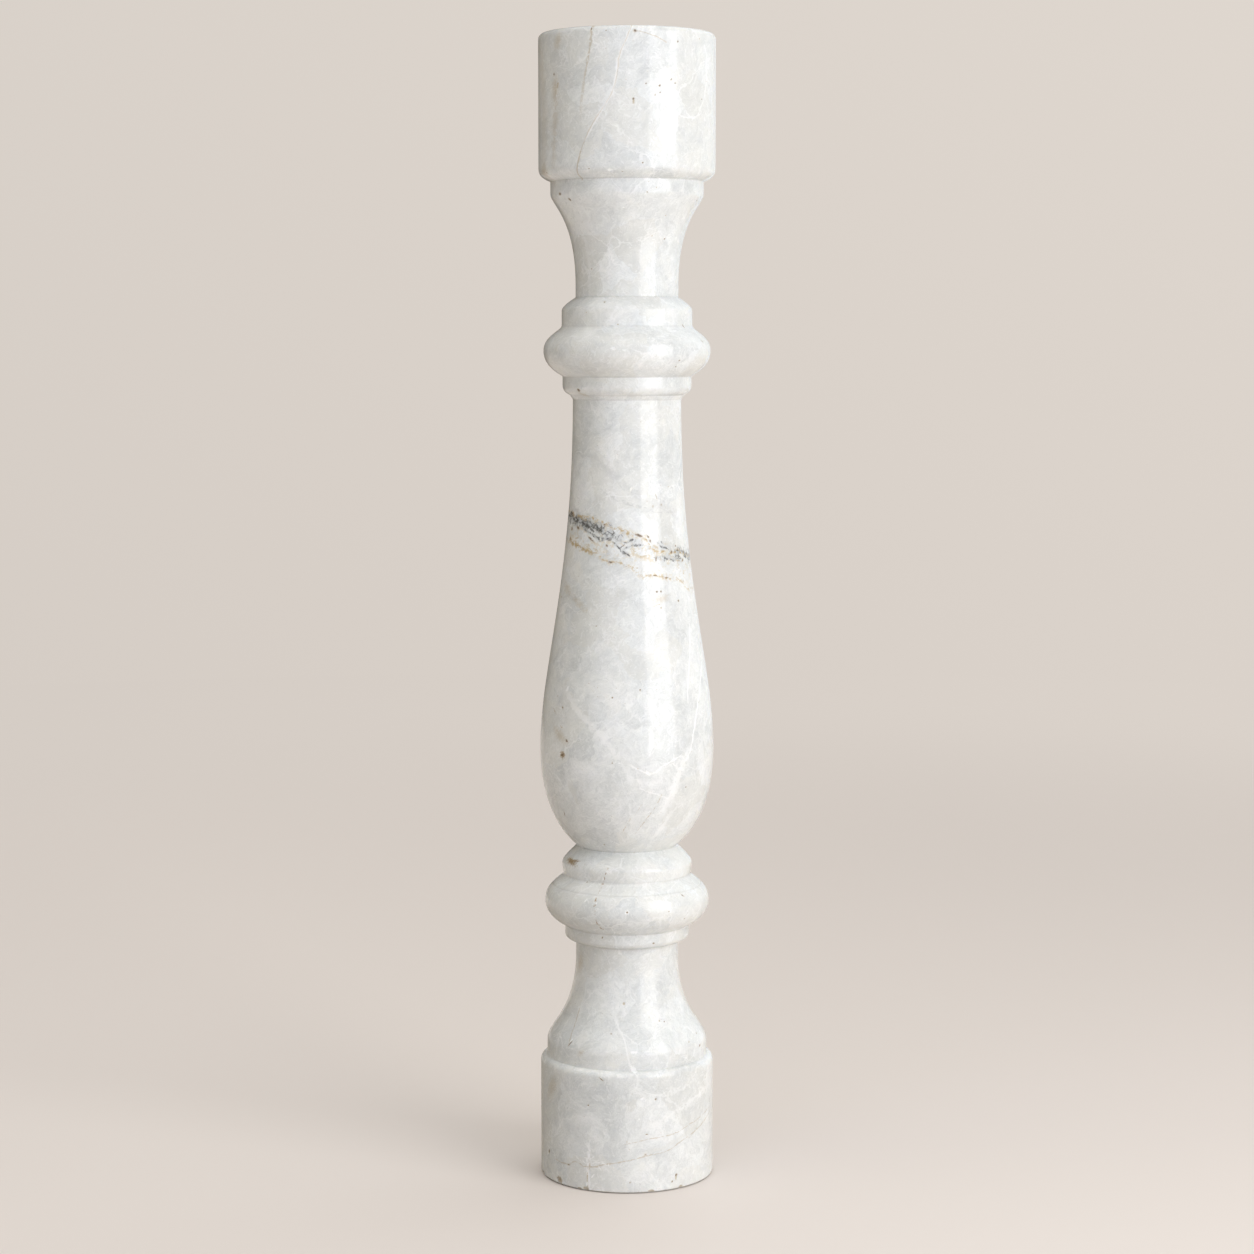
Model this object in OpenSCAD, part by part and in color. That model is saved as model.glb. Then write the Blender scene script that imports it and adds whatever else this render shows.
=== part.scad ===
// Stone baluster, turned from one block: a round base drum and a round top drum,
// joined by a vase-shaped shaft that stands between two moulded collars.
// The outline is half of the upright section, revolved once about the axis.
// Millimetres, Z up, origin at the centre of the underside, where it is bedded.

/* [Overall] */
// Height from the underside to the top face
height = 784; // [650:1:950]
// Diameter of the base drum and of the top drum
drum_d = 120; // [100:1:150]

/* [Base drum] */
// Height of the base drum
base_h = 84; // [60:1:110]
// Chamfer along the bottom edge
base_arris = 1; // [0.5:0.5:3]
// Rounding along the upper edge of the base drum
base_round = 4.5; // [1:0.5:8]
// Step in from the face of a drum to the fillet on the base drum
foot_inset = 4.5; // [2:0.5:12]
// Height of the upright face of that fillet
foot_h = 10; // [4:0.5:20]

/* [Lower neck] */
// Diameter of the neck below the lower collar
lower_neck_d = 71; // [56:1:90]
// Height of the hollow curve that rises from the foot fillet to the neck
lower_flare_h = 61; // [40:1:80]
// Height of the straight part of the lower neck
lower_neck_h = 9; // [2:0.5:20]

/* [Lower collar] */
// Diameter of the fillet under the lower torus
lower_fillet_d = 86; // [70:1:104]
// Height of the rounded underside of that fillet
lower_under_h = 5; // [2:0.5:10]
// Height of the upright face of that fillet
lower_fillet_h = 6.5; // [2:0.5:12]
// Diameter of the lower torus
lower_torus_d = 114; // [95:1:140]
// Height of the lower torus below its widest line
lower_torus_below = 17.5; // [10:0.5:25]
// Height of the lower torus above its widest line
lower_torus_above = 18.5; // [10:0.5:25]
// Greatest diameter of the rounded band between the lower torus and the belly
band_d = 90; // [74:1:110]
// Step in from that diameter to the foot of the band
band_undercut = 1; // [0.5:0.5:3]
// Height of the band up to its widest line
band_h = 7.5; // [3:0.5:14]
// Height of the rounded slope from there in to the belly
band_slope_h = 12; // [8:0.5:20]

/* [Belly and shaft] */
// Diameter of the narrow crease under the belly
pinch_d = 69; // [56:1:84]
// Greatest diameter of the belly
belly_d = 120; // [100:1:150]
// Height from the crease up to the widest line of the belly
belly_h = 68; // [50:1:90]
// Diameter of the shaft at its top
shaft_d = 74; // [60:1:88]

/* [Upper collar] */
// Width of the small cove between the shaft and the upper collar
cove_w = 2; // [0.5:0.5:4]
// Height of that cove
cove_h = 3; // [1:0.5:6]
// Diameter of the fillet under the upper torus
upper_fillet_d = 88; // [72:1:106]
// Height of the rounded underside of that fillet
upper_under_h = 6.5; // [3:0.5:10]
// Height of the upright face of that fillet
upper_fillet_h = 6; // [2:0.5:12]
// Diameter of the upper torus
upper_torus_d = 114; // [95:1:140]
// Height of the upper torus below its widest line
upper_torus_below = 17.5; // [10:0.5:25]
// Height of the upper torus above its widest line
upper_torus_above = 17; // [10:0.5:25]
// Diameter of the collar band over the upper torus
collar_band_d = 89; // [72:1:110]
// Height of the upright face of that band
collar_band_h = 10; // [4:0.5:16]
// Height of the rounded slope from that band in to the upper neck
collar_slope_h = 9; // [6:0.5:14]

/* [Upper neck] */
// Diameter of the neck over the upper collar
upper_neck_d = 70; // [56:1:90]
// Height of the straight part of the upper neck
upper_neck_h = 8.5; // [2:0.5:20]
// Height of the hollow curve that rises from the neck to the cap fillet
upper_flare_h = 61; // [40:1:80]

/* [Top drum] */
// Step in from the face of a drum to the fillet under the top drum
cap_inset = 8; // [2:0.5:14]
// Height of the upright face of that fillet
cap_fillet_h = 8.5; // [4:0.5:16]
// Height of the top drum with its rounded underside
top_h = 98.5; // [70:0.5:120]
// Height of the rounded underside of the top drum
top_under_h = 8; // [4:0.5:14]
// Rounding along the upper edge of the top drum
top_round = 4; // [1:0.5:8]

/* [Hidden] */
turning_fn = 180;   // segments in one turn about the axis
base_steps = 8;     // segments in the shortest curve of the outline
rise_per_step = 8;  // a curve gets one more segment for each such rise

drum_r = drum_d / 2;
foot_r = drum_r - foot_inset;
cap_r = drum_r - cap_inset;
band_foot_r = band_d / 2 - band_undercut;

// Levels of the lower mouldings, stacked up from the bed
foot_top = base_h + foot_h;
lower_neck_bottom = foot_top + lower_flare_h;
lower_collar_bottom = lower_neck_bottom + lower_neck_h;
lower_fillet_bottom = lower_collar_bottom + lower_under_h;
lower_torus_bottom = lower_fillet_bottom + lower_fillet_h;
lower_torus_mid = lower_torus_bottom + lower_torus_below;
band_bottom = lower_torus_mid + lower_torus_above;
band_top = band_bottom + band_h;
pinch = band_top + band_slope_h;
belly = pinch + belly_h;

// Levels of the upper mouldings, stacked down from the top face
cap_crease = height - top_h;
cap_bottom = cap_crease - cap_fillet_h;
upper_neck_top = cap_bottom - upper_flare_h;
upper_neck_bottom = upper_neck_top - upper_neck_h;
collar_band_top = upper_neck_bottom - collar_slope_h;
collar_band_bottom = collar_band_top - collar_band_h;
upper_torus_mid = collar_band_bottom - upper_torus_above;
upper_fillet_top = upper_torus_mid - upper_torus_below;
upper_fillet_bottom = upper_fillet_top - upper_fillet_h;
cove_top = upper_fillet_bottom - upper_under_h;
shaft_top = cove_top - cove_h;

// S-shaped moulding curve from a up to b, points being [radius, height].
// It leaves a and reaches b straight up, and keeps to that direction for the shares
// hold_a and hold_b of the rise. A hold of 0 leaves a crisp crease at that end.
function ogee(a, b, hold_a, hold_b) =
    let (rise = b[1] - a[1],
         c = [a[0], a[1] + hold_a * rise],
         d = [b[0], b[1] - hold_b * rise],
         steps = ceil(base_steps + rise / rise_per_step))
    [for (i = [0:steps])
        let (t = i / steps, s = 1 - t)
        pow(s, 3) * a + 3 * s * s * t * c + 3 * s * t * t * d + pow(t, 3) * b];

// Quarter round along the upper edge of a drum whose face is at radius r
function round_over(r, top, size) =
    [for (i = [0:base_steps])
        let (angle = 90 * i / base_steps)
        [r - size + size * cos(angle), top - size + size * sin(angle)]];

// A torus: an S-curve out to its widest line and another back in
function torus(r_below, bottom, r_mid, mid, r_above, top, cove_below, fullness_below,
               fullness_above, cove_above) =
    concat(ogee([r_below, bottom], [r_mid, mid], cove_below, fullness_below),
           ogee([r_mid, mid], [r_above, top], fullness_above, cove_above));

function base_drum_outline() = concat(
    [[0, 0], [drum_r - base_arris, 0], [drum_r, base_arris]],
    round_over(drum_r, base_h, min(base_round, foot_inset)),
    [[foot_r, base_h]]);

function lower_neck_outline() =
    ogee([foot_r, foot_top], [lower_neck_d / 2, lower_neck_bottom], 0.165, 0.69);

function lower_collar_outline() = concat(
    ogee([lower_neck_d / 2, lower_collar_bottom],
         [lower_fillet_d / 2, lower_fillet_bottom], 0, 0.8),
    torus(lower_fillet_d / 2, lower_torus_bottom, lower_torus_d / 2, lower_torus_mid,
          band_foot_r, band_bottom, 0, 0.71, 0.58, 0.17),
    ogee([band_foot_r, band_bottom], [band_d / 2, band_top], 0, 0.5),
    ogee([band_d / 2, band_top], [pinch_d / 2, pinch], 0.22, 0));

function shaft_outline() = concat(
    ogee([pinch_d / 2, pinch], [belly_d / 2, belly], 0, 0.76),
    ogee([belly_d / 2, belly], [shaft_d / 2, shaft_top], 0.224, 0.52));

function upper_collar_outline() = concat(
    ogee([shaft_d / 2 + cove_w, cove_top],
         [upper_fillet_d / 2, upper_fillet_bottom], 0, 0.8),
    torus(upper_fillet_d / 2, upper_fillet_top, upper_torus_d / 2, upper_torus_mid,
          collar_band_d / 2, collar_band_bottom, 0.04, 0.69, 0.6, 0.2),
    ogee([collar_band_d / 2, collar_band_top],
         [upper_neck_d / 2, upper_neck_bottom], 0.4, 0));

function upper_neck_outline() =
    ogee([upper_neck_d / 2, upper_neck_top], [cap_r, cap_bottom], 0.745, 0.115);

function top_drum_outline() = concat(
    ogee([cap_r, cap_crease], [drum_r, cap_crease + top_under_h], 0, 0.78),
    round_over(drum_r, height, top_round),
    [[0, height]]);

// Each point of a list that is not the same as the one before it
function without_repeats(points) =
    [for (i = [0:len(points) - 1]) if (i == 0 || norm(points[i] - points[i - 1]) > 0.001) points[i]];

module baluster() {
    color("#dededa")
    rotate_extrude($fn = turning_fn)
        polygon(without_repeats(concat(
            base_drum_outline(), lower_neck_outline(), lower_collar_outline(), shaft_outline(),
            upper_collar_outline(), upper_neck_outline(), top_drum_outline())));
}

baluster();
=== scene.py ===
# %% [markdown]
# # A turned marble baluster
# The object is one block of pale marble, turned on a lathe: a base drum and a top drum,
# joined by a vase-shaped shaft between two moulded collars. The CAD model holds its true
# outline. This lesson gives it what the CAD leaves out: softened arrises, a tooled line, pits
# and chips in the mesh, and clouds, healed veins and mineral flecks in the material.
# The first step loads the imported CAD model as the frame for the rest.

# %% Load the imported model
import math

import bpy
import numpy as np
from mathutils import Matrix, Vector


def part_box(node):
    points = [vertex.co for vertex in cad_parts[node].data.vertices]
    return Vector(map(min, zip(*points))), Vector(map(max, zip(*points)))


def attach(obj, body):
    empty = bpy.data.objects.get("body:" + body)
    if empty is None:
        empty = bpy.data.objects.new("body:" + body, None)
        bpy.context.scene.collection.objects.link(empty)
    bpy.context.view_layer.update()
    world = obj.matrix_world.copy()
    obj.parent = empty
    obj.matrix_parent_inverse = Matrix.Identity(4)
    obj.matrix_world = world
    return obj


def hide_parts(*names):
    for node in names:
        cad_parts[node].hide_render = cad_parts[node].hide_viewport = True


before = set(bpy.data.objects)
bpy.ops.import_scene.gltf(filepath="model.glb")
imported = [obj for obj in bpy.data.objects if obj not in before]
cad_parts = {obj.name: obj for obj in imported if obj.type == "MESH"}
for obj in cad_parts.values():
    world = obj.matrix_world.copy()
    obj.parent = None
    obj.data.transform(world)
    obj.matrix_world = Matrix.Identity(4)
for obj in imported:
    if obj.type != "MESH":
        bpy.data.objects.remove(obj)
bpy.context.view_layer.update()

MM = 0.001
low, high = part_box("baluster")
HEIGHT = high.z
print("baluster", round(HEIGHT / MM, 1), "mm high,", round((high.x - low.x) / MM, 1), "mm across")

# %% [markdown]
# ## The outline
# A turned piece is known by half of its upright section. The CAD mesh keeps every level of
# that outline as a ring of vertices, so the widest radius at each height gives it back.
# It is read here, and not typed again, so that a change in the CAD reaches the looks.

# %% Read the outline from the CAD mesh
def read_outline(mesh):
    """Radius at each level of a turned mesh, as rows of (radius, height), from the centre
    of the underside to the centre of the top face."""
    co = np.empty(len(mesh.vertices) * 3)
    mesh.vertices.foreach_get("co", co)
    x, y, z = co.reshape(-1, 3).T
    level, at = np.unique(np.round(z, 6), return_inverse=True)
    radius = np.zeros(len(level))
    np.maximum.at(radius, at, np.hypot(x, y))
    return np.vstack([[0, level[0]], np.column_stack([radius, level]), [0, level[-1]]])


def headings(points):
    """Direction of each step of a line, as an angle that runs on without jumps."""
    step = np.diff(points, axis=0)
    return np.unwrap(np.arctan2(step[:, 1], step[:, 0]))


LEAST_BEND = math.radians(0.05)

levels = read_outline(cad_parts["baluster"].data)
bend = np.abs(np.diff(headings(levels)))
levels = levels[np.concatenate([[True], bend > LEAST_BEND, [True]])]
print("outline:", len(levels), "levels")

# %% [markdown]
# The CAD outline is made of short straight steps. A lathe cuts a smooth curve, so a smooth
# line is carried through the levels from one crease to the next. A step that stands exactly
# upright or lies exactly flat is a turned face, and it stays straight.

# %% Smooth the outline between its creases
CREASE = math.radians(28)
SPACING = 0.1 * MM
TRUE_FACE = 0.002 * MM


def smooth_run(points):
    """Cubic Hermite curve through points, at even steps. The slope at a point is that of the
    parabola through it and its neighbours, and at the end of an upright or flat step it is
    the slope of that step."""
    step = np.diff(points, axis=0)
    length = np.hypot(*step.T)
    slope = step / length[:, None]
    at_point = np.vstack([slope[:1], slope])
    if len(step) > 1:
        before, after = length[:-1, None], length[1:, None]
        at_point[1:-1] = (after * slope[:-1] + before * slope[1:]) / (before + after)
        at_point[0] = 2 * slope[0] - at_point[1]
        at_point[-1] = 2 * slope[-1] - at_point[-2]
    straight = np.abs(step).min(1) < TRUE_FACE
    at_point[:-1][straight] = slope[straight]
    at_point[1:][straight] = slope[straight]
    start = np.concatenate([[0], np.cumsum(length)])
    s = np.linspace(0, start[-1], int(np.ceil(start[-1] / SPACING)) + 1)
    k = np.clip(np.searchsorted(start, s, "right") - 1, 0, len(step) - 1)
    t = ((s - start[k]) / length[k])[:, None]
    return ((2 * t**3 - 3 * t**2 + 1) * points[k] + (3 * t**2 - 2 * t**3) * points[k + 1]
            + length[k][:, None] * ((t**3 - 2 * t**2 + t) * at_point[k]
                                    + (t**3 - t**2) * at_point[k + 1]))


creases = np.flatnonzero(np.abs(np.diff(headings(levels))) > CREASE) + 1
ends = np.concatenate([[0], creases, [len(levels) - 1]])
runs = [smooth_run(levels[a:b + 1]) for a, b in zip(ends[:-1], ends[1:])]
cut = np.vstack([runs[0]] + [run[1:] for run in runs[1:]])
print("creases:", len(creases), "  outline length", round(len(cut) * SPACING / MM), "mm")

# %% [markdown]
# A turner may mark a torus with a fine line, cut with the corner of the tool. It is a narrow
# groove whose depth falls off as a bell from its middle, and it goes in square to the face.
# It is cut before the wear, so that its lips are softened with the rest.

# %% Cut the tooled line
TOOLED_LINE = 204 * MM
TOOLED_DEPTH = 0.3 * MM
TOOLED_WIDTH = 0.45 * MM

tooled = TOOLED_DEPTH * np.exp(-((cut[:, 1] - TOOLED_LINE) / TOOLED_WIDTH) ** 2)
outward = np.column_stack([np.gradient(cut[:, 1], SPACING), -np.gradient(cut[:, 0], SPACING)])
cut = cut - tooled[:, None] * outward
print("tooled line:", round(tooled.max() / MM, 2), "mm deep before the wear")

# %% [markdown]
# Handling and time round every arris and fill every quirk a little. Averaging the outline
# along its own length with a bell-shaped weight does that evenly: flats and long curves
# stay where they are, and a crease becomes a small fillet.

# %% Wear the creases
WEAR = 0.3 * MM


def worn(line, width):
    """Each point becomes the mean of the points near it along the line, with weight
    exp(-d^2 / 2 width^2) at distance d."""
    reach = int(4 * width / SPACING)
    weight = np.exp(-0.5 * (np.arange(-reach, reach + 1) * SPACING / width) ** 2)
    weight /= weight.sum()
    padded = np.pad(line, ((reach, reach), (0, 0)), mode="reflect", reflect_type="odd")
    return np.column_stack([np.convolve(padded[:, i], weight, "valid") for i in range(2)])


outline = worn(cut, WEAR)
outline_s = np.concatenate([[0], np.cumsum(np.hypot(*np.diff(outline, axis=0).T))])
heading = headings(outline)
curl = np.gradient(heading, outline_s[1:])
print("worn outline", round(outline_s[-1] / MM, 1), "mm long")

# %% [markdown]
# ## The grid
# The surface is a function of two parameters: the length along the outline and the angle
# round the axis. Rows of the grid lie close together where the outline turns fast and wide
# apart where it runs straight, so that the faces go where the shape needs them.
# A cell that holds a flaw is split into a finer grid, and the cells beside it take in the
# extra points along their shared side, so that the mesh stays closed.

# %% Rows and columns
COLUMNS = 144
FINE = 4
ROW_TURN = math.radians(11)
ROW_MOST = 3.6 * MM
ROW_LEAST = 0.4 * MM
BESIDE_BEND = 1 * MM

turning = np.abs(curl)
for shift in (BESIDE_BEND, -BESIDE_BEND):
    turning = np.maximum(turning, np.interp(outline_s[1:] + shift, outline_s[1:], turning) * 0.5)
row_gap = np.clip(ROW_TURN / (turning + 1e-9), ROW_LEAST, ROW_MOST)
row_count = np.concatenate([[0], np.cumsum(np.diff(outline_s[1:]) / row_gap[1:])])
ROWS = int(np.ceil(row_count[-1]))
row_s = np.interp(np.linspace(0, row_count[-1], ROWS + 1), row_count, outline_s[1:])
row_s[0] = 0
row_s[-1] = outline_s[-1]
print("grid:", ROWS, "rows by", COLUMNS, "columns")


def on_surface(s, angle):
    """Point and outward normal at length s along the outline and an angle in degrees. Angle 0
    is the front, which faces -Y, and it grows to the right: (r sin a, -r cos a, z)."""
    radius = np.interp(s, outline_s, outline[:, 0])
    height = np.interp(s, outline_s, outline[:, 1])
    tilt = np.interp(s, 0.5 * (outline_s[1:] + outline_s[:-1]), heading)
    turn = np.radians(angle)
    point = np.stack([radius * np.sin(turn), -radius * np.cos(turn), height], -1)
    normal = np.stack([np.sin(tilt) * np.sin(turn), -np.sin(tilt) * np.cos(turn),
                       -np.cos(tilt)], -1)
    return point, normal


def s_at_height(height):
    """Length along the outline at a height, in metres. The outline never goes down."""
    return np.interp(height, outline[:, 1], outline_s)


# %% [markdown]
# ## Flaws
# Old marble carries pits where soft grains fell out, nicks along its arrises, and a band
# where dark and rusty minerals cross the shaft. Each is an ellipse on the surface: its
# angle, its height, its length and width, the tilt of its length, and its depth.
# The main ones at the front are listed one by one, and seeded random ones fill the rest.

# %% The stone's flaws, listed one by one
# Each row is angle in degrees, height, length, width in mm, tilt in degrees, depth in mm.
charcoal_flecks = [
    (-70, 461, 7, 3.0, -30, 0.1), (-57, 458, 6, 1.6, -32, 0.1), (-42, 454, 7, 3.6, -22, 0.2),
    (-35, 451, 5, 2.0, -30, 0.1), (-29, 453, 3.4, 1.3, -38, 0.1), (-25, 451, 3.4, 0.8, -38, 0.1),
    (-33, 447, 4, 1.2, -35, 0.1), (-27, 445, 3.2, 1.5, -55, 0.1), (-24, 444, 3.4, 1.0, 20, 0.1),
    (-18, 446, 4, 1.1, 15, 0.1), (-13, 449, 3.2, 1.2, 40, 0.1), (-11, 447, 3, 0.8, -40, 0.1),
    (-3, 443, 8, 0.8, 10, 0.1), (5, 445, 4, 1.6, 10, 0.1), (10, 441, 7, 1.2, 8, 0.1),
    (-8, 440, 6, 1.1, -45, 0.1), (-3, 437, 4.4, 1.2, -36, 0.1), (1, 435, 3, 1.2, -36, 0.1),
    (34, 443, 2.2, 1.4, -60, 0.1), (39, 439, 2.2, 1.4, -30, 0.1), (53, 437, 6, 0.6, -12, 0.1),
    (62, 436, 6, 1.2, -30, 0.1), (66, 438, 2, 1.2, 60, 0.1), (72, 434, 7, 1.4, -55, 0.1),
    (76, 429, 8, 1.2, 78, 0.1), (46, 430, 4.4, 1.2, -45, 0.1), (36, 432, 4, 0.9, 80, 0.1),
]
umber_flecks = [
    (-54, 452, 3.6, 1.8, -20, 0.1), (-66, 451, 3, 2.4, 60, 0.1), (-36, 445, 7, 1.4, -34, 0.1),
    (-68, 444, 3, 2, 70, 0.1), (-19, 441, 2, 1.4, -40, 0.1), (-22, 455, 2.2, 1.4, -30, 0.1),
    (11, 448, 6, 1.8, -20, 0.1), (20, 447, 3.4, 1.2, -50, 0.1), (22, 444, 2.6, 1.2, -70, 0.1),
    (27, 432, 3.4, 1.1, 85, 0.1), (45, 436, 2.2, 1.8, 60, 0.1), (51, 440, 1.4, 1.4, 0, 0.2),
    (61, 430, 2.6, 1.6, 40, 0.1), (-15, 430, 3.2, 1.4, -12, 0.1), (37, 419, 4, 1.1, -6, 0.1),
    (25, 421, 3.6, 0.8, -4, 0.1), (26, 410, 1.6, 1.4, 0, 0.3), (30, 410, 1.4, 1.4, 0, 0.3),
    (48, 403, 1.7, 1.5, 0, 0.3), (29, 399, 1.3, 1.1, 0, 0.2), (-74, 404, 1.6, 1.4, 0, 0.2),
    (26, 467, 1.3, 1.1, 0, 0.2), (36, 468, 1.4, 1.1, 0, 0.2), (30, 474, 5.4, 0.5, -68, 0.1),
    (-23, 782, 3.2, 0.9, 85, 0.2), (5, 780, 2.4, 1.8, -30, 0.4), (34, 774, 1.3, 1.3, 0, 0.3),
    (4, 736, 1.7, 1.6, 0, 0.4), (29, 749, 1.6, 1.1, 40, 0.3), (32, 747, 1.5, 1.1, -40, 0.3),
    (21, 745, 1.8, 1.2, 30, 0.3), (18, 739, 1.2, 1.2, 0, 0.3), (12, 746, 1.2, 1.0, 0, 0.2),
    (-54, 754, 1.5, 1.5, 0, 0.3), (-66, 690, 1.5, 1.1, 0, 0.3), (-3, 689, 1.0, 0.9, 0, 0.2),
    (56, 738, 1.2, 1.0, 0, 0.2), (-50, 672, 2.8, 1.5, -38, 0.4), (-60, 676, 3, 1.8, 0, 0.1),
    (15, 676, 1.2, 0.7, -20, 0.2), (22, 679, 0.9, 0.8, 0, 0.2), (70, 672, 1.4, 1.0, 0, 0.2),
    (41, 646, 1.3, 1.0, 0, 0.2), (26, 648, 1.2, 0.9, 0, 0.2), (-42, 626, 1.4, 1.0, 0, 0.2),
    (-22, 604, 1.7, 1.2, -50, 0.3), (58, 588, 3.2, 0.9, -50, 0.2), (67, 578, 3, 0.9, -35, 0.2),
    (39, 565, 1.5, 1.0, 20, 0.2), (38, 561, 1.5, 0.9, 0, 0.2), (-49, 545, 2.6, 2.2, 0, 0.6),
    (9, 345, 1.3, 1.2, 0, 0.3), (-10, 340, 1.2, 1.0, 0, 0.3), (-47, 299, 3.4, 2.4, 25, 0.3),
    (-43, 309, 3, 1.6, -40, 0.1), (-49, 331, 2, 1.1, -45, 0.2), (-62, 236, 1.4, 1.2, 0, 0.3),
    (-22, 237, 1.3, 1.2, 0, 0.3), (-54, 257, 3.4, 0.8, 80, 0.1), (45, 202, 3.4, 1.1, -55, 0.3),
    (0, 194, 1.3, 1.2, 0, 0.6), (-23, 173, 1.7, 0.9, 60, 0.3), (25, 169, 1.6, 1.0, 0, 0.3),
    (30, 193, 1.3, 1.0, 0, 0.2), (45, 186, 1.4, 0.9, 0, 0.2), (18, 183, 2.4, 0.6, -10, 0.2),
    (-19, 181, 3.4, 0.8, -35, 0.2), (-46, 99, 4.6, 0.9, 62, 0.3), (-13, 108, 1.4, 1.1, 0, 0.3),
    (30, 115, 1.3, 1.0, 0, 0.2), (35, 114, 1.1, 0.9, 0, 0.2), (67, 102, 1.5, 1.1, 0, 0.2),
    (52, 99, 1.6, 1.0, 0, 0.2), (65, 94, 2, 1.4, 40, 0.3), (-17, 79, 3.6, 0.8, -35, 0.2),
    (64, 72, 1.3, 1.1, 0, 0.2), (-26, 60, 1.2, 1.2, 0, 0.3), (19, 65, 1.4, 1.3, 0, 0.3),
    (13, 41, 1.4, 0.9, 0, 0.2), (0, 36, 1.0, 0.9, 0, 0.2), (12, 27, 1.6, 1.2, 0, 0.3),
    (34, 10, 2.2, 1.6, 60, 0.3), (31, 6, 1.6, 1.1, 60, 0.2), (2, 8, 1.2, 1.0, 0, 0.2),
    (-64, 20, 3, 1.8, 60, 0.4), (-42, 16, 3, 1.0, -15, 0.2), (-78, 22, 4, 0.8, -30, 0.1),
]
ochre_flecks = [
    (-50, 459, 9, 1.8, -22, 0), (-43, 458, 2.4, 1.6, 0, 0), (-14, 453, 9, 1.0, -22, 0),
    (1, 449, 3.4, 2.0, -5, 0), (21, 439, 2.4, 1.6, 0, 0), (27, 440, 6, 2.2, -30, 0),
    (35, 437, 6, 1.6, -12, 0), (15, 434, 8, 1.4, 6, 0), (53, 430, 5, 1.4, -10, 0),
    (-55, 445, 8, 1.4, 12, 0), (-38, 439, 7, 1.2, -32, 0), (-30, 438, 6, 1.8, -30, 0),
    (-10, 429, 6, 0.8, -20, 0), (0, 427, 5, 0.7, -20, 0), (9, 426, 1.8, 1.4, 0, 0),
    (14, 424, 4, 0.8, -30, 0), (20, 421, 5, 1.8, 10, 0), (31, 420, 8, 0.8, -4, 0),
    (50, 418, 7, 0.9, -24, 0), (58, 416, 2, 1.4, 0, 0), (60, 421, 5, 0.7, 20, 0),
    (25, 401, 8, 1.0, 10, 0), (46, 480, 1.3, 1.0, 0, 0), (49, 462, 8, 0.5, -36, 0),
    (53, 777, 1.7, 1.1, 50, 0.2), (42, 760, 1.2, 1.0, 0, 0.2), (13, 754, 1.0, 0.9, 0, 0.2),
    (4, 734, 2, 2.8, 0, 0), (-50, 747, 5, 1.6, 80, 0.1), (-64, 223, 10, 3.0, -8, 0.1),
    (36, 661, 1.8, 1.0, 30, 0.2), (-38, 597, 1.3, 1.2, 0, 0.3), (-8, 589, 1.6, 1.2, 0, 0.3),
    (-3, 127, 2.4, 2.2, 0, 0.2), (34, 8, 5, 1.4, 70, 0), (-47, 300, 4.6, 4.0, 25, 0),
    (-49, 318, 5, 1.2, -35, 0), (-58, 328, 7, 1.0, -40, 0),
]
brown_blots = [
    (-62, 222, 16, 4.0, -8, 0.1), (-58, 223, 11, 2.8, 8, 0.1), (-47, 299, 6.0, 4.8, 25, 0.1),
    (-51, 4, 6, 3.4, 0, 0), (-66, 461, 7, 2.4, -25, 0),
]
warm_stains = [
    (-50, 775, 11, 7, 60, 0), (-53, 745, 17, 7, 80, 0), (-66, 222, 15, 7, -8, 0),
    (-50, 312, 18, 7, -35, 0), (-60, 66, 20, 10, 60, 0), (-45, 402, 24, 5, -34, 0),
    (-62, 410, 16, 7, -30, 0), (-47, 542, 9, 4, -30, 0), (-35, 94, 6, 3, 30, 0),
    (-70, 690, 14, 9, 40, 0), (-66, 150, 16, 9, 70, 0), (30, 405, 14, 5, 10, 0),
    (150, 640, 18, 8, 40, 0), (200, 330, 22, 9, -30, 0), (120, 60, 20, 8, 20, 0),
]
pale_marks = [
    (-11, 690, 4.0, 2.4, 0, 0.2), (4, 479, 3.4, 1.4, 80, 0.2), (-3, 666, 3.6, 1.0, -25, 0.3),
    (-14, 632, 2.4, 1.0, 20, 0.2), (-9, 573, 4.4, 2.6, -10, 0.2), (-2, 572, 8, 0.8, -12, 0.1),
    (14, 289, 5, 2.4, -40, 0.2), (0, 194, 3.8, 3.4, 0, 0.1), (-31, 200, 4.6, 0.9, 55, 0.1),
    (-21, 214, 2.4, 1.2, 60, 0.2), (-22, 199, 2.6, 1.1, 80, 0.2), (-19, 186, 3.0, 1.0, -60, 0.2),
    (5, 97, 5.0, 2.0, 0, 0.1), (5, 84, 6, 3, -30, 0.1), (-46, 101, 4.6, 1.4, 62, 0.1),
    (-25, 26, 9, 1.0, 82, 0.4), (-23, 24, 5, 0.9, 40, 0.3), (-28, 23, 4, 0.9, -10, 0.2),
    (-66, 18, 3.4, 1.8, 60, 0.5), (-26, 13, 8, 1.2, 84, 0.3), (-18, 17, 5, 1.0, -55, 0.3),
    (-23, 11, 5, 1.0, 50, 0.2), (-12, 20, 2.4, 0.8, 85, 0.2), (-27, 5, 4, 1.6, 80, 0.3),
    (10, 66, 3, 1.6, 20, 0.2), (8, 52, 2, 1.6, 0, 0.2), (-35, 337, 2.4, 1.2, -30, 0.2),
    (-46, 344, 4, 2.2, 60, 0.1), (-5, 296, 1.8, 1.4, 0, 0.2), (16, 262, 3, 1.0, 40, 0.1),
]
rim_chips = [
    (-51, 2.5, 5.0, 4.2, 0, 1.3), (-28, 1.5, 4.4, 2.6, 0, 0.9), (16, 1.2, 4.6, 2.2, 0, 0.8),
    (38, 1.2, 3.2, 2.4, 0, 0.9), (-85, 49, 2.2, 5.0, 0, 0.5), (-33, 1.0, 3.6, 1.6, 0, 0.5),
]
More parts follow.
